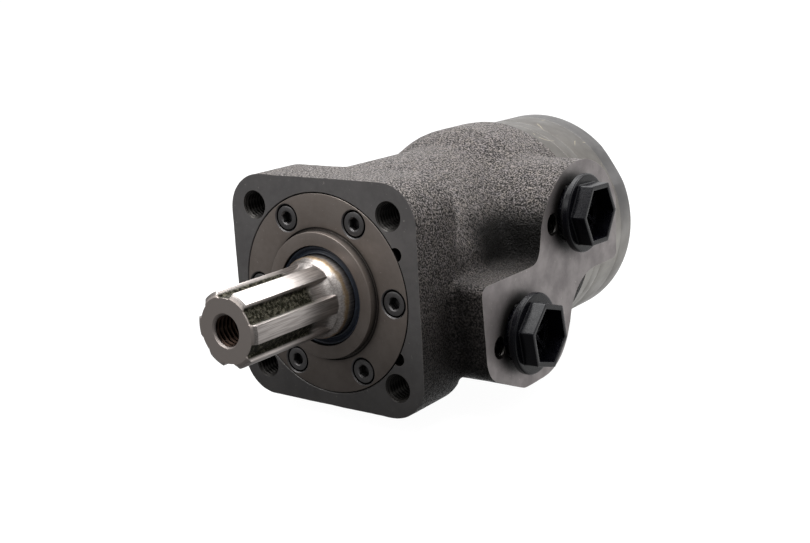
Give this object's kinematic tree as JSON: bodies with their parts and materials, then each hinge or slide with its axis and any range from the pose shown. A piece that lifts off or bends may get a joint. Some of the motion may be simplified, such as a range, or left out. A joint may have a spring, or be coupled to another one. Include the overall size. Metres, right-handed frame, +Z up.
{
  "type": "hydraulic motor",
  "caption": "Orbital hydraulic motor with square flange, ribbed-spline shaft, staggered side ports closed by hexagon plugs, and a bolted gear set at the rear.",
  "frame": {"origin": "centre of the end cover's flat rear face, on the shaft axis", "axes": "+Y along the shaft axis, from the shaft's tip toward the end cover; +X is the side the ports face; +Z is up"},
  "size_m": [0.117, 0.1984, 0.0906],
  "materials": {
    "cast_housing": "dark sand-cast iron with a coarse grain, machined faces",
    "ground_cover": "brownish grey ground iron, satin",
    "turned_rings": "turned steel, oiled",
    "end_cover_grey": "grey machined iron",
    "black_screws": "black oxide",
    "shaft_steel": "ground and greased steel",
    "bearing_steel": "polished bearing steel",
    "gear_steel": "ground steel",
    "zinc_bolts": "zinc plated steel",
    "copper_washers": "soft copper",
    "blue_black_rubber": "matt nitrile rubber",
    "black_plastic": "moulded polyethylene, glossy"
  },
  "bodies": {
    "body": {"housing": "cast_housing", "front_cover": "ground_cover", "cover_screw_1": "black_screws", "cover_screw_2": "black_screws", "cover_screw_3": "black_screws", "cover_screw_4": "black_screws", "cover_screw_5": "black_screws", "cover_screw_6": "black_screws", "cover_o_ring": "blue_black_rubber", "dust_wiper": "blue_black_rubber", "shaft_seal": "blue_black_rubber", "thrust_washer_front": "bearing_steel", "spacer_plate": "turned_rings", "stator_ring": "turned_rings", "end_cover": "end_cover_grey", "end_bolt_1": "zinc_bolts", "end_bolt_2": "zinc_bolts", "end_bolt_3": "zinc_bolts", "end_bolt_4": "zinc_bolts", "end_bolt_5": "zinc_bolts", "end_bolt_6": "zinc_bolts", "end_bolt_7": "zinc_bolts", "end_washer_1": "copper_washers", "end_washer_2": "copper_washers", "end_washer_3": "copper_washers", "end_washer_4": "copper_washers", "end_washer_5": "copper_washers", "end_washer_6": "copper_washers", "end_washer_7": "copper_washers", "drain_plug": "zinc_bolts", "drain_washer": "copper_washers"},
    "shaft": {"output_shaft": "shaft_steel", "thrust_washer_rear": "bearing_steel"},
    "needle_cage": {"thrust_needle_cage": "bearing_steel"},
    "orbit": {"cardan_spacer": "gear_steel"},
    "rotor": {"rotor": "gear_steel"},
    "drive_link": {"cardan_shaft": "gear_steel"},
    "roller_1": {"roller_1": "bearing_steel"},
    "roller_2": {"roller_2": "bearing_steel"},
    "roller_3": {"roller_3": "bearing_steel"},
    "roller_4": {"roller_4": "bearing_steel"},
    "roller_5": {"roller_5": "bearing_steel"},
    "roller_6": {"roller_6": "bearing_steel"},
    "roller_7": {"roller_7": "bearing_steel"},
    "plug_a_seal": {"port_seal_a": "blue_black_rubber"},
    "plug_a": {"port_plug_a": "black_plastic"},
    "plug_b_seal": {"port_seal_b": "blue_black_rubber"},
    "plug_b": {"port_plug_b": "black_plastic"},
    "check_ball_1": {"check_ball_1": "bearing_steel"},
    "check_ball_2": {"check_ball_2": "bearing_steel"}
  },
  "joints": [
    {"name": "shaft_spin", "type": "hinge", "parent": "body", "child": "shaft", "pos_m": [0, -0.148, 0], "axis": [0, 1, 0], "continuous": true},
    {"name": "needle_cage_spin", "type": "hinge", "parent": "body", "child": "needle_cage", "pos_m": [0, -0.148, 0], "axis": [0, 1, 0], "continuous": true},
    {"name": "rotor_orbit", "type": "hinge", "parent": "body", "child": "orbit", "pos_m": [0, 0, 0], "axis": [0, 1, 0], "continuous": true},
    {"name": "rotor_spin", "type": "hinge", "parent": "orbit", "child": "rotor", "pos_m": [0, 0, 0.0029], "axis": [0, 1, 0], "continuous": true},
    {"name": "drive_link_spin", "type": "hinge", "parent": "orbit", "child": "drive_link", "pos_m": [0, -0.078, 0], "axis": [0, 0.9989, 0.0473], "continuous": true},
    {"name": "roller_1_spin", "type": "hinge", "parent": "body", "child": "roller_1", "pos_m": [0, -0.02, 0.0305], "axis": [0, 1, 0], "continuous": true},
    {"name": "roller_2_spin", "type": "hinge", "parent": "body", "child": "roller_2", "pos_m": [-0.02385, -0.02, 0.01902], "axis": [0, 1, 0], "continuous": true},
    {"name": "roller_3_spin", "type": "hinge", "parent": "body", "child": "roller_3", "pos_m": [-0.02974, -0.02, -0.00679], "axis": [0, 1, 0], "continuous": true},
    {"name": "roller_4_spin", "type": "hinge", "parent": "body", "child": "roller_4", "pos_m": [-0.01323, -0.02, -0.02748], "axis": [0, 1, 0], "continuous": true},
    {"name": "roller_5_spin", "type": "hinge", "parent": "body", "child": "roller_5", "pos_m": [0.01323, -0.02, -0.02748], "axis": [0, 1, 0], "continuous": true},
    {"name": "roller_6_spin", "type": "hinge", "parent": "body", "child": "roller_6", "pos_m": [0.02974, -0.02, -0.00679], "axis": [0, 1, 0], "continuous": true},
    {"name": "roller_7_spin", "type": "hinge", "parent": "body", "child": "roller_7", "pos_m": [0.02385, -0.02, 0.01902], "axis": [0, 1, 0], "continuous": true},
    {"name": "plug_a_travel", "type": "slide", "parent": "body", "child": "plug_a_seal", "axis": [1, 0, 0], "range_m": [0, 0.012]},
    {"name": "plug_a_turn", "type": "hinge", "parent": "plug_a_seal", "child": "plug_a", "pos_m": [0.053, -0.107, -0.0175], "axis": [1, 0, 0], "range_deg": [-1, 2400]},
    {"name": "plug_b_travel", "type": "slide", "parent": "body", "child": "plug_b_seal", "axis": [1, 0, 0], "range_m": [0, 0.012]},
    {"name": "plug_b_turn", "type": "hinge", "parent": "plug_b_seal", "child": "plug_b", "pos_m": [0.053, -0.069, 0.0175], "axis": [1, 0, 0], "range_deg": [-1, 2400]},
    {"name": "check_ball_1_lift", "type": "slide", "parent": "body", "child": "check_ball_1", "axis": [0, 1, 0], "range_m": [-0.0024, 0.0024]},
    {"name": "check_ball_2_lift", "type": "slide", "parent": "body", "child": "check_ball_2", "axis": [0, 1, 0], "range_m": [-0.0024, 0.0024]}
  ],
  "couplings": [
    {"joint": "needle_cage_spin", "follows": "shaft_spin", "ratio": 0.5},
    {"joint": "rotor_orbit", "follows": "shaft_spin", "ratio": -6},
    {"joint": "rotor_spin", "follows": "shaft_spin", "ratio": 7},
    {"joint": "drive_link_spin", "follows": "shaft_spin", "ratio": 7},
    {"joint": "plug_a_turn", "follows": "plug_a_travel", "rad_per_m": 3463.7},
    {"joint": "plug_b_turn", "follows": "plug_b_travel", "rad_per_m": 3463.7}
  ]
}
